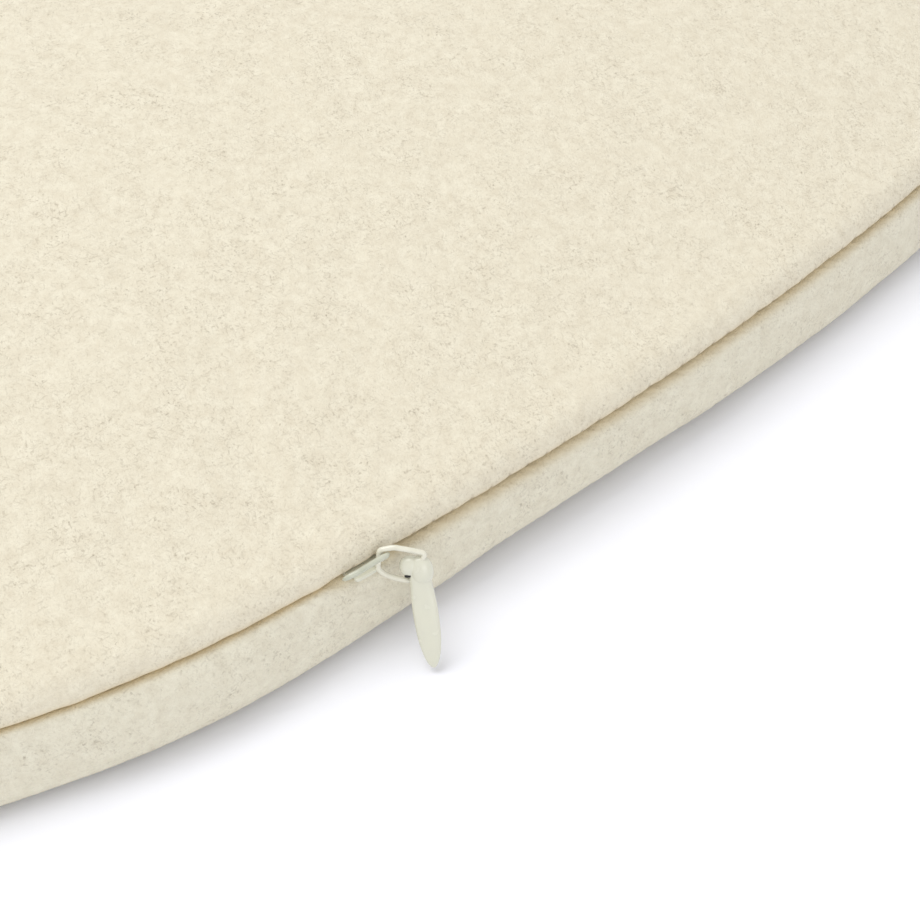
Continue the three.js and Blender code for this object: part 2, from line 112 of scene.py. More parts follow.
def turnedOut(points, faces):
    # faces wound the other way if the body they close has a negative volume
    volume = 0
    for size in (3, 4):
        corners = np.array([face for face in faces if len(face) == size], int).reshape(-1, size)
        for step in range(1, size - 1):
            a, b, c = (points[corners[:, k]] for k in (0, step, step + 1))
            volume += np.einsum("ij,ij->i", a, np.cross(b, c)).sum()
    return [list(face) if volume > 0 else list(face)[::-1] for face in faces]


def powered(value, power):
    # a sine or cosine raised to a power with its sign kept: below 1 it makes a round shape squarer
    return np.sign(value) * np.abs(value) ** power


# ---- the cushion's outline ----

outline = {
    "length": 450,
    "width": 320,
    "longSide": 820,  # radius, as are the next three
    "shoulder": 215,
    "corner": 58,
    "shortSide": 640,
    "zipHalf": 104,
    "zipEndRun": 12,
    "mouthStart": (-103.5, -98.6),  # along the zip, where its lips begin to part
    "mouthEnd": (103, 113),
    "fineRun": 8,  # how far the close grid goes on past the zip
    "zipStep": 0.42,  # between grid columns along the zip
    "plainStep": 1.25,
}

halfWidth = outline["width"] / 2
zipCentre = np.array([0, outline["longSide"] - halfWidth])


def quarterArcs():
    # Long side, shoulder, corner and short side run into each other. The corner's circle lies
    # inside the shoulder's and the short side's and touches both.
    o = outline
    start = (o["zipHalf"] + o["zipEndRun"]) / o["longSide"]
    shoulder = zipCentre + aim(start) * (o["longSide"] - o["shoulder"])
    short = np.array([o["length"] / 2 - o["shortSide"], 0])
    between = short - shoulder
    gap = np.linalg.norm(between)
    fromShoulder, fromShort = o["shoulder"] - o["corner"], o["shortSide"] - o["corner"]
    along = (fromShoulder**2 - fromShort**2 + gap**2) / (2 * gap)
    across = math.sqrt(fromShoulder**2 - along**2)
    ahead = between / gap
    corner = shoulder + ahead * along + np.array([-ahead[1], ahead[0]]) * across
    turns = [math.atan2(corner[0] - c[0], c[1] - corner[1]) for c in (shoulder, short)]
    centres = np.array([zipCentre, shoulder, corner, short])
    radii = np.array([o["longSide"], o["shoulder"], o["corner"], o["shortSide"]])
    angles = np.array([0, start, *turns, math.pi / 2])
    return centres, radii, angles, np.concatenate([[0], np.cumsum(radii * np.diff(angles))])


arcCentres, arcRadii, arcAngles, arcEnds = quarterArcs()
quarterRun = arcEnds[-1]
wholeRun = 4 * quarterRun


def outlineAt(run):
    # the place and outward direction at a run along the outline from the middle of the -Y side
    turn = np.floor(run / quarterRun).astype(int)
    within = run - turn * quarterRun
    within = np.where(turn % 2 == 1, quarterRun - within, within)
    arc = np.clip(np.searchsorted(arcEnds, within, side="right") - 1, 0, 3)
    out = aim(arcAngles[arc] + (within - arcEnds[arc]) / arcRadii[arc])
    at = arcCentres[arc] + out * arcRadii[arc][..., None]
    flip = np.array([[1, 1], [1, -1], [-1, -1], [-1, 1]])[turn % 4]
    return at * flip, out * flip


def runColumns(scale=1.0):
    # grid columns round the outline, close together along the zip
    near = outline["zipHalf"] + outline["fineRun"]
    far = wholeRun - near
    fine = np.linspace(-near, near, int(2 * near / (outline["zipStep"] * scale)), endpoint=False)
    rest = np.linspace(near, far, int((wholeRun - 2 * near) / (outline["plainStep"] * scale)), endpoint=False)
    return np.concatenate([fine % wholeRun, rest])


def alongZip(run):
    # distance along the seam from the zip's middle, negative towards -X
    return np.where(run > wholeRun / 2, run - wholeRun, run)


def mouthAt(run):
    # 1 where the zip's lips stand apart, 0 where the seam is sewn
    along = alongZip(run)
    return soft(*outline["mouthStart"], along) * (1 - soft(*outline["mouthEnd"], along))


def insideOutline(run, inset, height):
    # Near the edge a ring is parallel to the outline; further in it shrinks to the middle.
    at, out = outlineAt(run)
    inset, height = np.broadcast_arrays(inset + 0 * run, height + 0 * run)
    share = (inset / halfWidth)[..., None]
    parallel = at - out * inset[..., None]
    place = mix(parallel, at * (1 - share), soft(0.04, 0.4, share))
    return np.concatenate([place, height[..., None]], axis=-1)


def gridNormals(points):
    # square to the surface, from the steps to the next row and the next column round
    along = np.roll(points, -1, axis=1) - np.roll(points, 1, axis=1)
    down = np.gradient(points, axis=0)
    return unit(np.cross(along, down) + 1e-12)


def waves(run, lengths, seed):
    # a gentle random line round the outline: sines of whole numbers of waves, with set phases
    picker = np.random.default_rng(seed)
    total = 0 * run
    for length in lengths:
        count = max(1, round(wholeRun / length))
        total = total + np.sin(2 * np.pi * count * run / wholeRun + picker.uniform(0, 2 * np.pi))
    return total / math.sqrt(len(lengths))


def hills(x, y, lengths, seed):
    # a gentle random surface: plane waves that run in set directions
    picker = np.random.default_rng(seed)
    total = 0 * x
    for length in lengths:
        turn, shift = picker.uniform(0, 2 * np.pi, 2)
        total = total + np.sin(2 * np.pi * (x * math.cos(turn) + y * math.sin(turn)) / length + shift)
    return total / math.sqrt(len(lengths))


# ---- materials ----


def newMaterial(name):
    material = bpy.data.materials.new(name)
    material.use_nodes = True
    material.node_tree.nodes.clear()
    return material


def addNode(material, kind, inputs=None, **settings):
    # a node with its settings, and with each input set to a value or joined to a socket
    tree = material.node_tree
    node = tree.nodes.new(kind)
    for name, value in settings.items():
        setattr(node, name, value)
    for key, value in (inputs or {}).items():
        if isinstance(value, bpy.types.NodeSocket):
            tree.links.new(value, node.inputs[key])
        else:
            node.inputs[key].default_value = value
    return node


def millimetres(material, stretch=(1, 1, 1), turn=(0, 0, 0)):
    # object coordinates in millimetres, turned and then stretched by set amounts
    place = addNode(material, "ShaderNodeTexCoord").outputs["Object"]
    turned = addNode(material, "ShaderNodeMapping", {"Vector": place, "Rotation": turn}).outputs[0]
    scale = tuple(1000 / s for s in stretch)
    return addNode(material, "ShaderNodeMapping", {"Vector": turned, "Scale": scale}).outputs[0]


def noise(material, place, scale, detail, roughness=0.5):
    # its outputs: a grey one first, and a colour
    values = {"Vector": place, "Scale": scale, "Detail": detail, "Roughness": roughness}
    return addNode(material, "ShaderNodeTexNoise", values).outputs


def ramp(material, value, low, high, start=0.0, end=1.0, shape="LINEAR"):
    # start where the value is below low, end where it is above high
    values = {"Value": value, "From Min": low, "From Max": high, "To Min": start, "To Max": end}
    return addNode(material, "ShaderNodeMapRange", values, interpolation_type=shape).outputs[0]


def maths(material, operation, *values):
    return addNode(material, "ShaderNodeMath", dict(enumerate(values)), operation=operation).outputs[0]


def tinted(material, share, a, b):
    # colour a where the share is 0 and b where it is 1; each is a socket or an sRGB hex
    a, b = (linearColour(colour) if isinstance(colour, str) else colour for colour in (a, b))
    return addNode(material, "ShaderNodeMix", {0: share, 6: a, 7: b}, data_type="RGBA").outputs[2]


def bumped(material, height, strength, depth):
    # a shading normal from a height; depth is in metres
    values = {"Height": height, "Strength": strength, "Distance": depth}
    return addNode(material, "ShaderNodeBump", values).outputs[0]


def surfaced(material, values):
    # the shader and the output that end a material
    shader = addNode(material, "ShaderNodeBsdfPrincipled", values)
    addNode(material, "ShaderNodeOutputMaterial", {"Surface": shader.outputs[0]})
    return material


feltLook = {
    "hair": (0.42, 1.5),  # mm across and along one dark hair
    "hairTurns": (0.2, 1.3, 2.35),  # the ways the hairs lie, in radians
    "hairBend": 2.2,
    "hairWeight": 0.4,
    "speck": 0.75,  # mm across the darkest tufts
    "speckWeight": 0.34,
    "cloud": 8,  # mm across the patches where dark hairs gather
    "mottle": 2.7,
    "fuzz": 0.42,  # mm between tufts, drawn about twice as coarse as the real nap so that it shows
    "bumpDepth": 0.00032,
    "roughness": 0.96,
    "sheen": 0.2,
    "stitchShadeTint": "#75634a",  # painted shade in a needle's hole
    "seamShadeTint": "#cfbc93",  # painted seam shade: the tan that wool deep in a seam shows, lit only by light that has already met wool
}


def woolFelt(name, light, shade, hair):
    # Thick milled wool felt: carded cream wool with grey-brown hairs through it, fulled until no
    # weave shows. It gives the eye a matt, faintly furry face with soft flecks and no gloss.
    look = feltLook
    m = newMaterial(name)
    place = millimetres(m)
    drift = noise(m, place, 0.6, 2.0)["Color"]
    half, bend = (0.5, 0.5, 0.5), (look["hairBend"],) * 3
    sway = addNode(m, "ShaderNodeVectorMath", {0: drift, 1: half}, operation="SUBTRACT").outputs[0]
    across, along = look["hair"]
    strands = None
    for step, turn in enumerate(look["hairTurns"]):
        lie = millimetres(m, (along, across, 0.8), (0.25 * step, 0.35, turn))
        bent = addNode(m, "ShaderNodeVectorMath", {0: sway, 1: bend, 2: lie}, operation="MULTIPLY_ADD")
        thin = ramp(m, noise(m, bent.outputs[0], 1.0, 2.0)[0], 0.54, 0.78, shape="SMOOTHSTEP")
        strands = thin if strands is None else maths(m, "MAXIMUM", strands, thin)
    gather = ramp(m, noise(m, place, 1 / look["cloud"], 5.0, 0.68)[0], 0.38, 0.64, start=0.15)
    tuft = noise(m, place, 1 / look["speck"], 1.0)[0]
    speck = ramp(m, tuft, 0.62, 0.74, end=look["speckWeight"], shape="SMOOTHSTEP")
    marks = maths(m, "MULTIPLY_ADD", strands, look["hairWeight"], speck)
    patch = ramp(m, noise(m, place, 1 / look["mottle"], 5.0, 0.72)[0], 0.34, 0.68)
    colour = tinted(m, patch, light, shade)
    colour = tinted(m, maths(m, "MULTIPLY", marks, gather), colour, hair)
    # painted shade: these two marks tint the felt tan deep in the seams and dark brown in the needle holes,
    # in place of the shade that falls there
    for key in ("seamShade", "stitchShade"):
        depth = addNode(m, "ShaderNodeAttribute", attribute_name=key).outputs["Fac"]
        colour = tinted(m, depth, colour, look[key + "Tint"])
    nap = noise(m, place, 1 / look["fuzz"], 3.0, 0.6)[0]
    relief = maths(m, "MULTIPLY_ADD", noise(m, place, 0.32, 3.0, 0.55)[0], 1.2, nap)
    height = maths(m, "MULTIPLY_ADD", strands, 0.2, relief)
    values = {
        "Base Color": colour,
        "Roughness": look["roughness"],
        "IOR": 1.5,
        "Specular IOR Level": 0.2,
        "Sheen Weight": look["sheen"],
        "Sheen Roughness": 0.55,
        "Sheen Tint": linearColour("#fbf6ea"),
        "Normal": bumped(m, height, 0.75, look["bumpDepth"]),
    }
    return surfaced(m, values)


def wovenCloth(name, light, dark, pitch):
    # Plain woven cotton or polyester: threads over and under at a set pitch, matt, with a fine grid.
    m = newMaterial(name)
    wavesPerUnit = 3.2
    values = {"Vector": millimetres(m), "Scale": 1 / pitch / wavesPerUnit, "Distortion": 0.6, "Detail": 1.0}
    ways = ("X", "Z")
    threads = [addNode(m, "ShaderNodeTexWave", values, bands_direction=way).outputs[1] for way in ways]
    weave = maths(m, "MULTIPLY", *threads)
    values = {
        "Base Color": tinted(m, weave, dark, light),
        "Roughness": 0.85,
        "Sheen Weight": 0.15,
        "Normal": bumped(m, weave, 0.5, 0.0002),
    }
    return surfaced(m, values)


def openCellFoam(name, light, dark, cell):
    # Moulded polyurethane foam: pale straw, matt, with open cells about a millimetre across.
    m = newMaterial(name)
    values = {"Vector": millimetres(m), "Scale": 1 / cell}
    cells = addNode(m, "ShaderNodeTexVoronoi", values, feature="F1").outputs[0]
    colour, normal = tinted(m, cells, dark, light), bumped(m, cells, 0.6, 0.0004)
    return surfaced(m, {"Base Color": colour, "Roughness": 0.9, "Normal": normal})


def smoothCoat(name, light, dark, roughness, coat):
    # Stoved enamel over zinc or wire, or drawn nylon: an even pale colour, slightly thinner and
    # darker in places, with a faint orange peel that softens the highlights.
    m = newMaterial(name)
    place = millimetres(m)
    cloud = noise(m, place, 0.45, 3.0)[0]
    values = {
        "Base Color": tinted(m, ramp(m, cloud, 0.35, 0.65), light, dark),
        "Roughness": ramp(m, cloud, 0.3, 0.7, start=roughness * 0.85, end=roughness * 1.2),
        "IOR": 1.5,
        "Coat Weight": coat,
        "Coat Roughness": 0.12,
        "Normal": bumped(m, noise(m, place, 0.7, 2.0)[0], 0.1, 0.00008),
    }
    return surfaced(m, values)


faceFelt = woolFelt("wool felt, cream heather", "#e5dec9", "#d9d0ba", "#8f826d")
# painted light: a copy of the face's felt with its tones set a touch cooler, to paint in the light that the
# band's side gets
borderFeltLit = woolFelt("wool felt, border, lit copy", "#e4dfcb", "#d8d1bc", "#8f836f")
linerCotton = wovenCloth("plain woven cotton", "#f2efe8", "#d9d4c8", 0.5)
tapeWeave = wovenCloth("woven polyester tape", "#d5ccb8", "#a2957b", 0.45)
threadSpun = wovenCloth("spun polyester thread", "#bfae8c", "#8a7757", 0.3)
padFoam = openCellFoam("polyurethane foam", "#ede6c2", "#cdc295", 1.1)
nylonTeeth = smoothCoat("drawn nylon", "#d9d0bb", "#c9bfa8", 0.42, 0.1)
creamEnamel = smoothCoat("stoved enamel on zinc", "#d3d2bf", "#d1d0be", 0.24, 0.6)
# painted shade: the slider's cream enamel made darker for the bridge bar, which sits in shade
barEnamelShaded = smoothCoat("stoved enamel, darker copy for the bar's shade", "#c2c3b0", "#b6b8a4", 0.26, 0.6)
# painted light: the slider's cream enamel made lighter for the ring, to paint in the light it catches
ringEnamelLit = smoothCoat("stoved enamel, lighter copy for the ring's light", "#dedbc9", "#d6d3c0", 0.24, 0.6)
# painted shade: a near-black copy of the coat for the lump that stands in for the shadow in the drop's hollow
hollowShadeCoat = smoothCoat("painted shade in the drop's hollow", "#24211c", "#1a1815", 0.6, 0.0)
print("materials made")

# ---- the cover ----

cover = {
    "thickness": 55,
    "bandTop": 19,
    "bandBottom": 2.1,
    "bandBulge": 1.6,
    "edgeRoll": 3.5,
    "fullness": 2.2,
    "crown": 0.7,  # how much of the way in the dome reaches the thickness; it rises a little further
    "felt": 1.8,
    "seamGap": 0.3,
    "zipMouth": 1.6,
    "lip": 1.0,  # radius of the front panel's turned edge
    "lipReach": 14,  # how far in the face stands up with it
    "bandLip": (1.1, 1.5),  # inwards and down, where the seam is sewn
    "zipLip": (2.2, 3.1),  # the same beside the slider, where the band is drawn back
    "lift": 0.8,  # how far the band's felt stands up behind the zip's teeth
    "underRoll": (3.0, 3.6),  # the band's lower edge, which rolls under
    "footLow": 0.35,
    "tuck": 5.2,  # how much further it is drawn in along the zip
    "tuckStart": (-115, -52),  # along the zip, where that grows
    "tuckEnd": (-40, 45),  # and where it falls off, by the share in the next line
    "tuckLoss": 0.85,
    "tuckRise": 1.1,  # how much higher the roll reaches for each mm of tuck
    "tuckFlat": 0.16,  # and how much less the band bulges
    "soleRise": 0.3,  # and how much the band's inner edge lifts
    "slack": 1.5,  # how far it bags out beyond the slider's end of the zip
    "slackAt": -132,
    "slackWidth": 24,
    "gapeEnd": (-40, 80),  # along the zip, where its groove narrows to the share in the next line
    "gapeFar": 0.6,
    "pucker": 0.07,  # how far the seam draws the felt in and out
    "puckerReach": 7,
    "undulation": 0.13,  # slow rises of the face
    "bandWander": 0.14,  # and of the band
    "nap": 0.05,  # short rises of both
    "rimGap": 0.3,  # from the band's foot to the back's rim
    "rimRound": 0.6,
    "backThread": (0.2, 0.17, 1.0),  # radius, how far in from the band's foot, and height
    "stitchRise": 0.62,  # above the panel's edge
    "stitchPitch": 4.6,
    "stitchDepth": 0.1,
    "stitchSize": 0.46,
}


def edgeHeight(run, side):
    # where the front panel's edge (side 1) or the band's top edge (side -1) stands
    opening = (cover["zipMouth"] - cover["seamGap"]) / 2
    return cover["bandTop"] + side * (cover["seamGap"] / 2 + opening * mouthAt(run))


def domeRise(share):
    # a quarter-round at the edge, and then a dome whose slope dies out towards the middle
    c = cover
    rolled = np.minimum(1, share * halfWidth / c["edgeRoll"])
    roll = c["edgeRoll"] * np.sqrt(np.maximum(0, 1 - (1 - rolled) ** 2))
    rise = c["thickness"] - c["bandTop"] - c["edgeRoll"]
    return roll + rise * (1 - (1 - share) ** c["fullness"]) / (1 - (1 - c["crown"]) ** c["fullness"])


def domeSection(run, share, depth):
    # inset and height of the front's section, moved in square to the surface
    edge = edgeHeight(run, 1)
    stretch = (cover["thickness"] - edge) / domeRise(np.array(cover["crown"]))
    step = 1e-4
    climb = (domeRise(share + step) - domeRise(share)) * stretch
    steep = np.where(share <= 0, np.pi / 2, np.arctan2(climb, step * halfWidth))
    return share * halfWidth + depth * np.sin(steep), edge + domeRise(share) * stretch - depth * np.cos(steep)


def stitchPulls(run, reach):
    # 1 in the middle of each stitch's dimple along the zip; reach is the height above their row
    pitch, size = cover["stitchPitch"], cover["stitchSize"] / 2
    beat = (alongZip(run) / pitch + 0.5) % 1 - 0.5
    return np.exp(-(((beat * pitch) ** 2) + reach**2) / (2 * size**2))


simulation = {
    "columns": 120,
    "rows": 22,
    "reach": 0.97,  # how far towards the middle the coarse grid goes
    "pressure": 4,
    "frames": 20,
    "cap": 2.4,  # mm, the most that a point may rise
}


def crownBySimulation(columns, rows):
    # How far the sewn, stuffed panel swells: a coarse copy of the front, held at its seam, is
    # inflated as cloth, and its rise is returned over (share inwards, share round).
    share = np.linspace(0.0, simulation["reach"], rows)[:, None]
    run = (np.arange(columns) / columns * wholeRun)[None, :]
    inset, height = domeSection(run, share, 0)
    points = insideOutline(run, inset, height).reshape(-1, 3)
    closed = np.concatenate([points, [[0, 0, points[-1, 2] + 0.02]]])
    faces = [*gridFaces(rows, columns), *fan(rows, columns, rows * columns, True)]
    data = bpy.data.meshes.new("crown cloth")
    data.from_pydata((closed * mm).tolist(), [], turnedOut(closed, faces))
    sheet = bpy.data.objects.new("crownCloth", data)
    bpy.context.scene.collection.objects.link(sheet)
    held = sheet.vertex_groups.new(name="seam")
    held.add(list(range(columns * 2)), 1.0, "REPLACE")
    cloth = sheet.modifiers.new("Cloth", "CLOTH")
    cloth.settings.quality = 6
    cloth.settings.mass = 0.4
    cloth.settings.tension_stiffness = cloth.settings.compression_stiffness = 40
    cloth.settings.shear_stiffness = 20
    cloth.settings.bending_stiffness = 6
    cloth.settings.vertex_group_mass = "seam"
    cloth.settings.use_pressure = True
    cloth.settings.uniform_pressure_force = simulation["pressure"]
    cloth.settings.effector_weights.gravity = 0
    cloth.collision_settings.use_self_collision = False
    cloth.collision_settings.use_collision = False
    for number in range(1, simulation["frames"] + 1):
        bpy.context.scene.frame_set(number)
    made = sheet.evaluated_get(bpy.context.evaluated_depsgraph_get()).to_mesh()
    places = np.zeros(len(data.vertices) * 3)
    made.vertices.foreach_get("co", places)
    rise = places.reshape(-1, 3)[:-1, 2] / mm - points[:, 2]
    bpy.context.scene.frame_set(1)
    bpy.data.objects.remove(sheet)
    bpy.data.meshes.remove(data)
    return np.clip(rise.reshape(rows, columns), -simulation["cap"], simulation["cap"])


def spread(field, share, run):
    # a coarse field over (share inwards, run round) read at other places, eased between its points
    rows, columns = field.shape
    down = np.clip(share / simulation["reach"] * (rows - 1), 0, rows - 1.001) + 0 * run
    across = run / wholeRun * columns + 0 * share
    row, column = np.floor(down).astype(int), np.floor(across).astype(int)
    a, b = down - row, across - column
    a, b = a * a * (3 - 2 * a), b * b * (3 - 2 * b)
    left, right = column % columns, (column + 1) % columns
    above = field[row, left] * (1 - b) + field[row, right] * b
    under = field[row + 1, left] * (1 - b) + field[row + 1, right] * b
    return above * (1 - a) + under * a


swell = crownBySimulation(simulation["columns"], simulation["rows"])
print("crown simulated, rises up to", round(float(swell.max()), 2), "mm")


def closedBowl(name, outer, inner, material, slot, marks=None):
    # two grids of rings that run from rim to middle, joined at the rim and closed at both middles
    rows, columns = outer.shape[0] + inner.shape[0], outer.shape[1]
    skin = np.concatenate([inner[::-1], outer])
    points = np.concatenate([skin.reshape(-1, 3), [inner[-1].mean(axis=0)], [outer[-1].mean(axis=0)]])
    if marks:
        # out of sight, the inner skin takes the full painted shade of every mark
        hidden = np.ones(inner.shape[0] * columns)
        marks = {key: np.concatenate([hidden, value.reshape(-1), [0, 0]]) for key, value in marks.items()}
    faces = turnedOut(points, cappedFaces(rows, columns))
    return meshPiece(name, "cushion", points, faces, material, marks)


def openness(run):
    # how far the zipped groove gapes: most beside the slider, and less towards the far end
    return mouthAt(run) * mix(1, cover["gapeFar"], soft(*cover["gapeEnd"], alongZip(run)))


def bandFoot(run):
    # How far in the band's lower edge lies, and how far it bags out. The tuck that is left past the
    # zip's far end goes on to the middle of the far side, where it stops with a small step.
    c, along = cover, alongZip(run)
    tuck = c["tuck"] * soft(*c["tuckStart"], along) * (1 - c["tuckLoss"] * soft(*c["tuckEnd"], along))
    bag = c["slack"] * np.exp(-(((along - c["slackAt"]) / c["slackWidth"]) ** 2))
    return c["underRoll"][0] + tuck, bag


def frontCover():
    # The felt turns over a small round lip at the seam, rolls up and follows the dome; puckers
    # along the seam, stitch dimples and slow undulations move it square to its surface.
    c = cover
    run = runColumns()[None, :]
    edge, zipped = edgeHeight(run, 1), mouthAt(run)
    lipTurn = np.linspace(0, np.pi / 2, 6)[:-1, None]
    lipInset = c["lip"] * (1 - np.sin(lipTurn)) + 0 * run
    lipHeight = edge + c["lip"] * (1 - np.cos(lipTurn))
    rolled = c["edgeRoll"] / halfWidth
    roll = np.linspace(0, 1, 9)[:-1] ** 1.8 * c["edgeRoll"] / halfWidth
    dome = rolled + (np.linspace(0, 1, 44) ** 1.55) * (0.985 - rolled)
    share = np.concatenate([roll, dome])[:, None]
    inset, height = domeSection(run, share, 0)
    height = height + c["lip"] * (1 - soft(0, c["lipReach"], inset)) + spread(swell, share, run)
    inset, height = np.concatenate([lipInset, inset]), np.concatenate([lipHeight, height])
    skin = insideOutline(run, inset, height)
    x, y = skin[..., 0], skin[..., 1]
    fade = np.exp(-np.maximum(0, inset - 0.5) / c["puckerReach"])
    rises = c["pucker"] * fade * waves(run, (5.3, 7.9, 11, 17, 29), 4)
    rises = rises + c["undulation"] * soft(1, 12, inset) * hills(x, y, (9, 13, 19, 27, 41), 8)
    rises = rises + c["nap"] * hills(x, y, (2.6, 3.3, 4.1), 2) * soft(0.2, 2, inset)
    above = height - edge
    pulls = zipped * stitchPulls(run, above - c["stitchRise"]) * (inset < 3)
    rises = rises - c["stitchDepth"] * pulls
    outer = skin + gridNormals(skin) * rises[..., None]
    innerShare = np.array([0, 0.0035, 0.01, 0.025, 0.08, 0.2, 0.42, 0.7, 0.98])[:, None]
    innerInset, innerHeight = domeSection(run, innerShare, c["felt"])
    rim = insideOutline(run, np.full((1, run.shape[1]), 1.3), edge)
    inner = np.concatenate([rim, insideOutline(run, innerInset, innerHeight)])
    # painted seam shade: how strongly each point takes the tan seam tint, most at the foot of the lip and a
    # little less along the zip
    seamShade = np.exp(-np.maximum(0, above - 0.35) / 0.55) * mix(0.9, 0.75, zipped)
    # painted shade: the stitch dimples along the zip take the dark needle-hole tint
    marks = {"seamShade": seamShade, "stitchShade": np.clip(0.85 * pulls, 0, 1)}
    piece = closedBowl("frontCover", outer, inner, faceFelt, "wool_felt", marks)
    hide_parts("front_panel")
    return piece


def borderCover():
    # A strip of felt between two seams: it rolls out of the upper seam, bows out and rolls under
    # at the lower one, with small puckers along both.
    c = cover
    run = runColumns()[None, :]
    gape = openness(run)
    foot, bag = bandFoot(run)
    tuck = foot - c["underRoll"][0]
    top, low = edgeHeight(run, -1) + c["lift"] * mouthAt(run), c["footLow"] + 0 * run
    lipIn, lipDown = (mix(c["bandLip"][k], c["zipLip"][k], gape) for k in (0, 1))
    rollUp = c["underRoll"][1] + c["tuckRise"] * tuck
    turn = np.linspace(0, np.pi / 2, 12)[:, None]
    upperInset, upperHeight = lipIn * (1 - np.sin(turn)), top - lipDown * (1 - np.cos(turn))
    lowerInset, lowerHeight = foot * (1 - np.cos(turn)), low + rollUp * (1 - np.sin(turn))
    share = np.linspace(0, 1, 26)[1:-1, None]
    faceInset, faceHeight = 0 * share + 0 * run, mix(top - lipDown, low + rollUp, share)
    inset = np.concatenate([upperInset, faceInset, lowerInset + 0 * run])
    height = np.concatenate([upperHeight, faceHeight, lowerHeight])
    down = np.clip((top - height) / (top - low), 0, 1)
    inset = inset - (c["bandBulge"] + bag - c["tuckFlat"] * tuck) * np.sin(np.pi * down) ** 0.8
    skin = insideOutline(run, inset, height)
    fade = np.exp(-(top - height) / 3.5) + 0.6 * np.exp(-(height - low) / 3)
    rises = c["pucker"] * fade * waves(run, (9, 13, 21, 34), 5)
    rises = rises + c["bandWander"] * np.sin(np.pi * down) * waves(run, (23, 37, 61, 90), 6)
    rises = rises + c["nap"] * waves(run + 3 * height, (2.9, 3.7, 4.6), 7)
    outer = skin - gridNormals(skin) * rises[..., None]
    # painted seam shade: strongest up at the band's lip, where the seam shades it, and gone a little way down
    # its face
    depth = (top - height) / mix(0.5, 1.5, gape)
    seamShade = np.exp(-(depth**2)) * mix(0.9, 0.8, gape)
    back = np.linspace(1, 0, 7)[:, None]
    sole = c["bandBottom"] + c["soleRise"] * tuck
    innerInset = c["felt"] - c["bandBulge"] * np.sin(np.pi * back) + 0 * run
    innerInset = innerInset + (0.6 + 0.75 * tuck) * (1 - back) ** 2
    inner = insideOutline(run, innerInset, mix(top, sole, back))
    rings = np.concatenate([outer, insideOutline(run, foot + 0.05, sole), inner])
    points = rings.reshape(-1, 3)
    faces = turnedOut(points, gridFaces(*rings.shape[:2], wrapRows=True))
    # the hidden inner rings take the full painted seam shade
    seamShade = np.concatenate([seamShade.reshape(-1), np.ones(len(points) - seamShade.size)])
    # the band takes the lit copy of the felt
    piece = meshPiece("borderCover", "cushion", points, faces, borderFeltLit, {"seamShade": seamShade})
    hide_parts("border_band")
    return piece


def backCover():
    # A flat felt sheet whose rim lies just inside the band's rolled edge.
    c = cover
    run = runColumns(1.6)[None, :]
    top = c["bandBottom"] - c["seamGap"]
    rim, curve = bandFoot(run)[0] + c["rimGap"], c["rimRound"]
    centre = halfWidth * 0.98
    turn = np.linspace(0, np.pi / 2, 6)[:, None]
    rimInset, rimHeight = rim + curve * (1 - np.cos(turn)), curve * (1 - np.sin(turn))
    flatInset = mix(rim + curve, centre, np.linspace(0, 1, 18)[1:, None])
    inset = np.concatenate([rimInset, flatInset]) + 0 * run
    height = np.concatenate([rimHeight + 0 * run, 0 * flatInset])
    outer = insideOutline(run, inset, height)
    innerInset = np.concatenate([rim, np.array([12, 40, 80, centre])[:, None] + 0 * run])
    inner = insideOutline(run, innerInset, top + 0 * innerInset)
    piece = closedBowl("backCover", outer, inner, faceFelt, "wool_felt")
    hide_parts("back_panel")
    return piece


def backThread():
    # the thread of the lower seam, a thin tube in the fold between the band and the back
    run = runColumns(2.4)[None, :]
    radius, gap, height = cover["backThread"]
    sides = 8
    turn = (np.arange(sides) / sides * 2 * np.pi)[:, None]
    inset = bandFoot(run)[0] + gap + radius * np.cos(turn)
    points = insideOutline(run, inset, height + radius * np.sin(turn)).reshape(-1, 3)
    faces = turnedOut(points, gridFaces(sides, run.shape[1], wrapRows=True))
    piece = meshPiece("backThread", "cushion", points, faces, threadSpun)
    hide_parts("back_seam_thread")
    return piece


covers = [frontCover(), borderCover(), backCover(), backThread()]
print("cover made:", sum(len(piece.data.polygons) for piece in covers), "faces")

# ---- the pad and its liner ----

pad = {
    "zipChannel": 4.25,
    "channelFade": (104, 116),  # either way along the zip, where the channel ends
    "liner": 0.7,
    "foamGap": 0.8,
    "round": 2.5,
    "hem": 10.55,
    "depth": 3.15,
    "floor": 2.25,
}


def zipChannel(run):
    # how far the pad is pushed in behind the zip
    start, end = pad["channelFade"]
    along = alongZip(run)
    return pad["zipChannel"] * soft(-end, -start, along) * (1 - soft(start, end, along))


def padSide(run, inset, height):
    return insideOutline(run, inset + zipChannel(run), height + 0 * run)


def padDome(run, depth):
    share = np.array([0, 0.0035, 0.01, 0.025, 0.05, 0.08, 0.14, 0.2, 0.3, 0.42, 0.55, 0.7])[:, None]
    inset, height = domeSection(run, share, depth)
    return insideOutline(run, inset + zipChannel(run) * np.maximum(0, 1 - share / 0.06), height)


def padTray(run, depth, low):
    # the rounded lower edge of the pad, from its floor up to its side
    turn = np.linspace(0, np.pi / 2, 5)[:, None]
    insets = depth + pad["round"] * (1 - np.sin(turn))
    return padSide(run, insets, low + pad["round"] * (1 - np.cos(turn)))


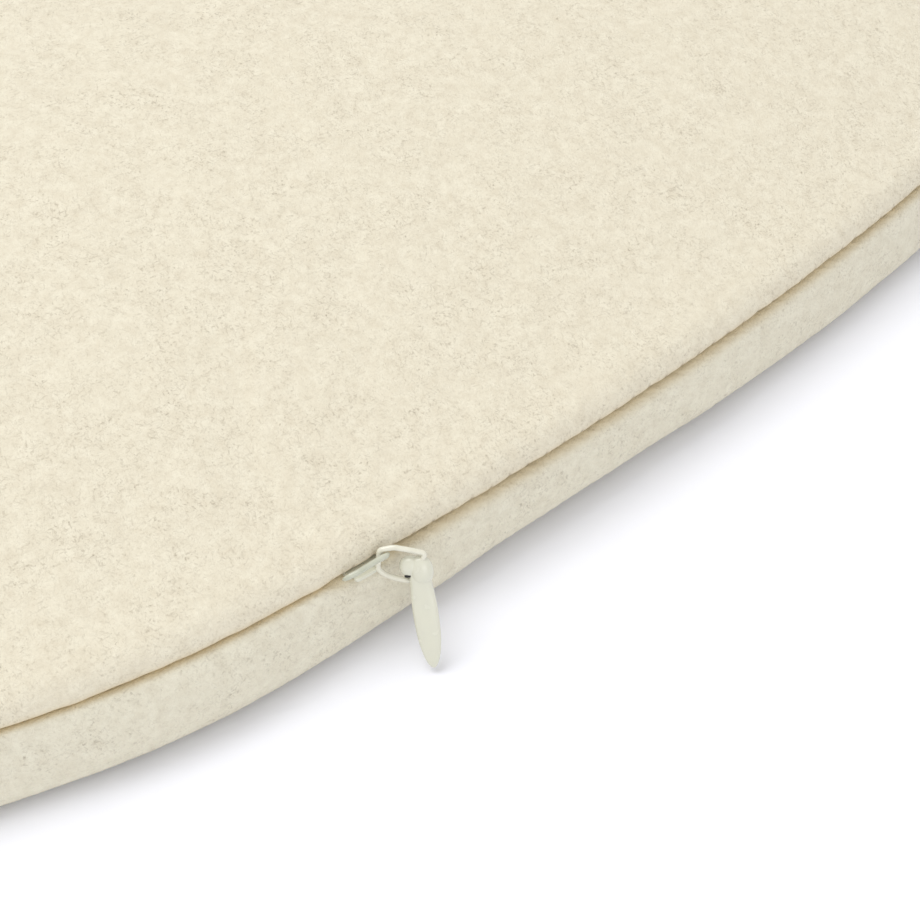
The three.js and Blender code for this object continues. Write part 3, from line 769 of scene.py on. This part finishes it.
def innerPieces():
    # The foam is a rounded-edge base under the dome; the liner is two thin bowls round it that
    # meet half way up the side.
    run = runColumns(4)[None, :]
    gap = cover["seamGap"] / 2
    high, low = pad["hem"] + gap, pad["hem"] - gap
    depths = pad["depth"], pad["depth"] + pad["liner"]
    floors = pad["floor"], pad["floor"] + pad["liner"]
    foam = depths[1] + pad["foamGap"]
    rings = np.concatenate([padTray(run, foam, floors[1] + pad["foamGap"]), padDome(run, foam)])
    points = np.concatenate([rings.reshape(-1, 3), [rings[0].mean(axis=0)], [rings[-1].mean(axis=0)]])
    faces = turnedOut(points, cappedFaces(*rings.shape[:2]))
    core = meshPiece("foamPad", "cushion", points, faces, padFoam)
    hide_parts("foam_core")
    skins = [np.concatenate([padSide(run, np.array([[d]]), high), padDome(run, d)]) for d in depths]
    lid = closedBowl("linerFront", *skins, linerCotton, "liner_cotton")
    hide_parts("liner_front")
    skins = [
        np.concatenate([padSide(run, np.array([[d]]), low), padTray(run, d, floor)[::-1]])
        for d, floor in zip(depths, floors)
    ]
    tub = closedBowl("linerBack", *skins, linerCotton, "liner_cotton")
    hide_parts("liner_back")


innerPieces()
print("pad and liner made")

# ---- slider, ring and drop ----

slider = {
    "rest": -93.7,  # along the zip from its middle
    "nose": 0.6,
    "slideGap": 0.3,
    "bridgeWire": 0.52,
    "bridgeEnds": (-6.0, 3.2),
    "bridgeReach": 2.55,
    "bridgeRise": 2.75,
    "bridgeBend": 0.8,
    # the bar's bends from left to right: along from its end, and back and up from its reach and rise
    "bridgeKnees": ((0.5, 0.6, -0.75), (2.4, 0.1, -0.3), (-2.2, 0, 0.1), (0, 0, 0)),
    "ringWire": 0.5,
    "ringBend": 0.55,
    "ringSeat": (1.9, -1.45, 1.1),
    "ringYaw": 43,
    "ringSlope": 4,
    "ringTilt": 14.5,
    "dropSeat": 7,
    "dropSeatLow": 0.9,
    "dropLeanOut": 21,
    "dropLeanAlong": 7,
}
ledge = {"middle": (-0.9, -1.05, -0.6), "half": (2.5, 0.7, 0.4), "full": 0.5, "rows": 17, "columns": 28}


def sliderPlaces(points):
    # from the slider's own frame (x along the zip, y into the cushion, z up) to the cushion's
    turn = slider["rest"] / outline["longSide"]
    c, s = math.cos(turn), math.sin(turn)
    edge = zipCentre + aim(np.array(turn)) * outline["longSide"]
    points = np.asarray(points, float)
    return np.stack(
        [
            edge[0] + c * points[..., 0] - s * points[..., 1],
            edge[1] + s * points[..., 0] + c * points[..., 1],
            cover["bandTop"] + points[..., 2],
        ],
        axis=-1,
    )


def roundedPath(corners, bend, loop, fine=8):
    # straight stretches joined by parabolas that start and end a bend's length from each corner
    corners = np.asarray(corners, float)
    count = len(corners)
    pieces = [] if loop else [corners[:1]]
    for i in range(count if loop else count - 2):
        a, b, c = (corners[(i + k) % count] for k in range(3))
        start, end = b + unit(a - b) * bend, b + unit(c - b) * bend
        t = np.linspace(0, 1, fine)[:, None]
        pieces.append((1 - t) ** 2 * start + 2 * t * (1 - t) * b + t**2 * end)
    if not loop:
        pieces.append(corners[-1:])
    return np.concatenate(pieces)


def denser(path, loop, step=0.45):
    # extra points on long straight stretches, evenly placed
    ends = np.roll(path, -1, axis=0) if loop else path[1:]
    made = []
    for a, b in zip(path, ends):
        count = max(1, int(np.linalg.norm(b - a) / step))
        made.append(a + (b - a) * (np.arange(count) / count)[:, None])
    if not loop:
        made.append(path[-1:])
    return np.concatenate(made)


def roundWire(name, body, path, normal, radius, loop, material, sides=20):
    # a circle carried along a path that lies in one plane, with domed ends where it isn't a loop
    ahead = np.roll(path, -1, axis=0) - np.roll(path, 1, axis=0)
    if not loop:
        ahead[0], ahead[-1] = path[1] - path[0], path[-1] - path[-2]
    side = unit(np.cross(normal, ahead))
    turn = (np.arange(sides) / sides * 2 * np.pi)[None, :, None]
    size = np.full(len(path), float(radius))
    if not loop:
        size[[0, -1]] *= 0.55
        size[[1, -2]] *= 0.95
    circle = side[:, None] * np.cos(turn) + normal * np.sin(turn)
    points = (path[:, None] + circle * size[:, None, None]).reshape(-1, 3)
    if loop:
        faces = gridFaces(len(path), sides, wrapRows=True)
    else:
        points = np.concatenate([points, path[:1], path[-1:]])
        faces = cappedFaces(len(path), sides)
    points = sliderPlaces(points)
    return meshPiece(name, body, points, turnedOut(points, faces), material)


def ringFrame():
    # the ring's long and upright directions, the drop's, the drop's axis, and where each is held
    s = slider
    yaw, slope, tilt = (math.radians(s[k]) for k in ("ringYaw", "ringSlope", "ringTilt"))
    along = np.array([math.cos(yaw) * math.cos(slope), -math.sin(yaw) * math.cos(slope), -math.sin(slope)])
    lean = np.array([math.sin(tilt), 0, math.cos(tilt)])
    up = unit(lean - along * lean.dot(along))
    out, side = math.sin(math.radians(s["dropLeanOut"])), math.sin(math.radians(s["dropLeanAlong"]))
    down = np.array([-side, -out, -math.sqrt(1 - side**2 - out**2)])
    facing = np.cross(along, up)
    axis = unit(np.cross(facing, down))
    pivot = np.array(s["ringSeat"])
    hang = pivot + along * s["dropSeat"] - up * s["dropSeatLow"]
    return along, up, down, axis, pivot, hang


ringAlong, ringUp, dropDown, dropAxis, ringPivot, dropPivot = ringFrame()
dropFacing = np.cross(dropAxis, dropDown)


def bridge():
    # the bar that carries the ring, a little bowed and bent at both ends down to the slider's nose
    s = slider
    slope = math.atan2(s["bridgeRise"], s["bridgeReach"] - s["nose"])
    foot = s["nose"] + s["slideGap"] + s["bridgeWire"] * math.sin(slope)
    rise = (foot - s["nose"]) * math.tan(slope)
    left, right = s["bridgeEnds"]
    out, up = s["bridgeReach"], s["bridgeRise"]
    sides = zip((left, left, right, right), s["bridgeKnees"])
    knees = [(end + along, -out + back, up + higher) for end, (along, back, higher) in sides]
    corners = [(left, -foot, rise), *knees, (right, -foot, rise)]
    path = denser(roundedPath(corners, s["bridgeBend"], False), False)
    normal = unit(np.cross(np.array([1.0, 0, 0]), np.array([0, foot - out, rise - up])))
    # the bar takes the darker copy of the enamel, which paints in its shade
    piece = roundWire("bridgeBar", "slider", path, normal, s["bridgeWire"], False, barEnamelShaded)
    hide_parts("slider_bridge")
    return piece


def roundedLump(middle, half, full, pole, rows, columns):
    # An ellipsoid, made squarer the further full is below 1. Its rings stand along the pole axis,
    # which is 0, 1 or 2.
    u = np.linspace(-np.pi / 2, np.pi / 2, rows)[1:-1, None]
    v = (np.arange(columns) / columns * 2 * np.pi)[None, :]
    ways = [powered(np.cos(u), full) * powered(wave(v), full) for wave in (np.cos, np.sin)]
    ways.insert(pole, powered(np.sin(u), full) + 0 * v)
    middle, half = np.array(middle), np.array(half)
    rings = np.stack(ways, axis=-1) * half + middle
    tip = half * np.eye(3)[pole]
    points = np.concatenate([rings.reshape(-1, 3), [middle - tip, middle + tip]])
    return points, cappedFaces(rows - 2, columns)


def sliderNose():
    # a small pressed ledge under the bar, shaped like a square pillow
    g = ledge
    points, faces = roundedLump(g["middle"], g["half"], g["full"], 2, g["rows"], g["columns"])
    points = sliderPlaces(points)
    return meshPiece("sliderNose", "slider", points, turnedOut(points, faces), creamEnamel)


def ring():
    # a wire loop: its near side stands upright behind the bar, and its far end carries the drop
    low = [(-0.25, -1.6), (1.1, -2.75), (3.1, -3.3), (5.0, -3.5), (6.9, -3.45)]
    far = [(7.25, -1.0), (7.45, 1.0), (7.75, 2.5)]
    high = [(5.0, 2.85), (2.3, 3.1), (-0.15, 2.3)]
    corners = np.array([*low, *far, *high])
    flat = denser(roundedPath(corners, slider["ringBend"], True, 6), True)
    path = ringPivot + flat[:, :1] * ringAlong + flat[:, 1:] * ringUp
    normal = unit(np.cross(ringAlong, ringUp))
    # the ring takes the lighter copy of the enamel, which paints in the light it catches
    piece = roundWire("pullRing", "ring", path, normal, slider["ringWire"], True, ringEnamelLit)
    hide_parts("pull_ring")
    return piece


drop = {
    "length": 19.2,
    "width": 4.55,
    "neckWidth": 3.7,
    "widestAt": 0.4,
    "thick": 1.5,
    "neckThick": 1.2,  # times the blade's thickness
    "neckBack": 0.1,  # how far the neck is set back
    "bladeTop": 0.3,  # where the blade leaves the fold
    "tip": (2.5, 0.56),  # how late and how roundly the blade closes
    "section": (0.8, 0.75),  # below 1 is squarer, across and through
    "head": ((0.4, 0.3, 0.05), (2.1, 2.75, 1.45)),  # middle, and half sizes across, down and through
    "lobe": ((-1.45, -0.6, 0.25), (2.0, 1.95, 1.35)),  # the folded strip's end, beside the head
    "hollow": ((-1.95, 0.95, -0.45), (0.75, 0.34, 0.33)),  # the open end of the fold, where a dark lump paints the shade inside
    "full": 0.93,  # 1 is an ellipsoid, and less is squarer
}


def dropPull():
    # Two rounded lumps are the strip folded round the ring, and the crease is where they meet. The
    # blade is a flat rounded section carried down from them to a round tip, widest above its middle.
    d = drop
    frameAxes = np.array([dropAxis, dropDown, dropFacing])
    parts = []
    for key in ("head", "lobe"):
        points, faces = roundedLump(*d[key], d["full"], 1, 25, 36)
        points = points @ frameAxes
        parts.append((points, turnedOut(points, faces)))
    rows, columns = 64, 40
    start, widest = d["bladeTop"], d["widestAt"]
    late, blunt = d["tip"]
    down = start + (d["length"] - start) * (1 - (1 - np.linspace(0, 1, rows)[:, None]) ** 1.25)
    share = (down - start) / (d["length"] - start)
    close = np.maximum(0, 1 - np.clip((share - widest) / (1 - widest), 0, 1) ** late) ** blunt
    wide = (d["neckWidth"] / 2 + (d["width"] - d["neckWidth"]) / 2 * soft(0, widest, share)) * close
    thick = d["thick"] / 2 * mix(d["neckThick"], 1, soft(0, 0.3, share)) * np.minimum(1, close * 1.25) ** 0.8
    angle = (np.arange(columns) / columns * 2 * np.pi)[None, :]
    edgeX, edgeY = powered(np.cos(angle), d["section"][0]), powered(np.sin(angle), d["section"][1])
    offset = mix(-d["neckBack"], 0, soft(0, 0.25, share))
    blade = (
        (wide * edgeX)[..., None] * dropAxis
        + (down + 0 * angle)[..., None] * dropDown
        + (offset + thick * edgeY)[..., None] * dropFacing
    )
    points = np.concatenate([blade[:-1].reshape(-1, 3), blade[:1].mean(axis=1), blade[-1:].mean(axis=1)])
    parts.append((points, turnedOut(points, cappedFaces(rows - 1, columns))))
    joined, allFaces = np.zeros((0, 3)), []
    for points, faces in parts:
        allFaces += [[i + len(joined) for i in face] for face in faces]
        joined = np.concatenate([joined, points])
    piece = meshPiece("dropPull", "drop", sliderPlaces(joined + dropPivot), allFaces, creamEnamel)
    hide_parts("pull_drop")
    return piece


def dropHollowShade():
    # a dark lump that paints the shade in the open end of the fold, beside the ring's lower side
    points, faces = roundedLump(*drop["hollow"], drop["full"], 1, 13, 20)
    points = sliderPlaces(points @ np.array([dropAxis, dropDown, dropFacing]) + dropPivot)
    return meshPiece("dropHollowShade", "drop", points, turnedOut(points, faces), hollowShadeCoat)


dropHollowShade()
bridge()
sliderNose()
ring()
dropPull()
print("slider wire, ring and drop made")

# ---- finishes of the carried-over parts ----

nodeFinish = {
    "front_seam_thread": threadSpun,
    "liner_seam_thread": threadSpun,
    "zip_tape_front": tapeWeave,
    "zip_tape_band": tapeWeave,
    "zip_coil_front": nylonTeeth,
    "zip_coil_band": nylonTeeth,
    "zip_top_stop_front": nylonTeeth,
    "zip_top_stop_band": nylonTeeth,
    "zip_bottom_stop": nylonTeeth,
    "slider_body": creamEnamel,
}
for name, material in nodeFinish.items():
    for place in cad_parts[name].material_slots:
        place.material = material

# ---- floor, light and camera ----

studio = {
    "floorDrop": 0.35,  # mm below the cushion
    "floorSize": 6000,
    "sky": 0.83,
    "keyPower": 17.8,
    "keySize": 1.3,  # m
    "keyAt": (-0.5, 0.35, 1.85),
    "fillPower": 2.6,
    "fillSize": 0.8,
    "fillAt": (-0.75, -1.35, 0.4),
}
view = {"azimuth": -46.4, "elevation": 41, "distance": 500, "aim": (-61.6, -147.05, 19), "lens": 106.7}


def paperFloor():
    # Matt white backdrop paper: even, bright, with the faintest tooth.
    m = newMaterial("backdrop paper")
    colour = tinted(m, noise(m, millimetres(m), 0.2, 2.0)[0], "#f5f6fb", "#f3f4fa")
    surfaced(m, {"Base Color": colour, "Roughness": 0.9, "Specular IOR Level": 0.1})
    half = studio["floorSize"] / 2
    corners = np.array([[-half, -half], [half, -half], [half, half], [-half, half]])
    data = bpy.data.meshes.new("floor")
    points = np.concatenate([corners, np.full((4, 1), -studio["floorDrop"])], axis=1) * mm
    data.from_pydata(points.tolist(), [], [[0, 1, 2, 3]])
    data.materials.append(m)
    floor = bpy.data.objects.new("floor", data)
    bpy.context.scene.collection.objects.link(floor)


def softLight(name, at, size, power):
    # a square soft box that faces what the camera faces
    data = bpy.data.lights.new(name, "AREA")
    data.size, data.energy = size, power
    lamp = bpy.data.objects.new(name, data)
    bpy.context.scene.collection.objects.link(lamp)
    to = np.array(view["aim"]) * mm - np.array(at)
    lamp.location = at
    lamp.rotation_euler = (math.acos(-to[2] / np.linalg.norm(to)), 0, math.atan2(-to[0], to[1]))


def studioSky():
    world = bpy.data.worlds.new("studio")
    bpy.context.scene.world = world
    world.use_nodes = True
    sky = world.node_tree.nodes["Background"]
    sky.inputs[0].default_value = linearColour("#fdfdff")
    sky.inputs[1].default_value = studio["sky"]


def camera():
    v = view
    a, e = math.radians(v["azimuth"]), math.radians(v["elevation"])
    back = np.array([math.sin(a) * math.cos(e), -math.cos(a) * math.cos(e), math.sin(e)])
    data = bpy.data.cameras.new("camera")
    data.lens, data.sensor_width, data.clip_start = v["lens"], 36, 0.01
    eye = bpy.data.objects.new("camera", data)
    eye.location = (np.array(v["aim"]) + back * v["distance"]) * mm
    eye.rotation_euler = (math.pi / 2 - e, 0, a)
    bpy.context.scene.collection.objects.link(eye)
    bpy.context.scene.camera = eye


paperFloor()
studioSky()
softLight("key", studio["keyAt"], studio["keySize"], studio["keyPower"])
softLight("fill", studio["fillAt"], studio["fillSize"], studio["fillPower"])
camera()
bpy.context.scene.view_settings.view_transform = "Standard"
print("studio ready")
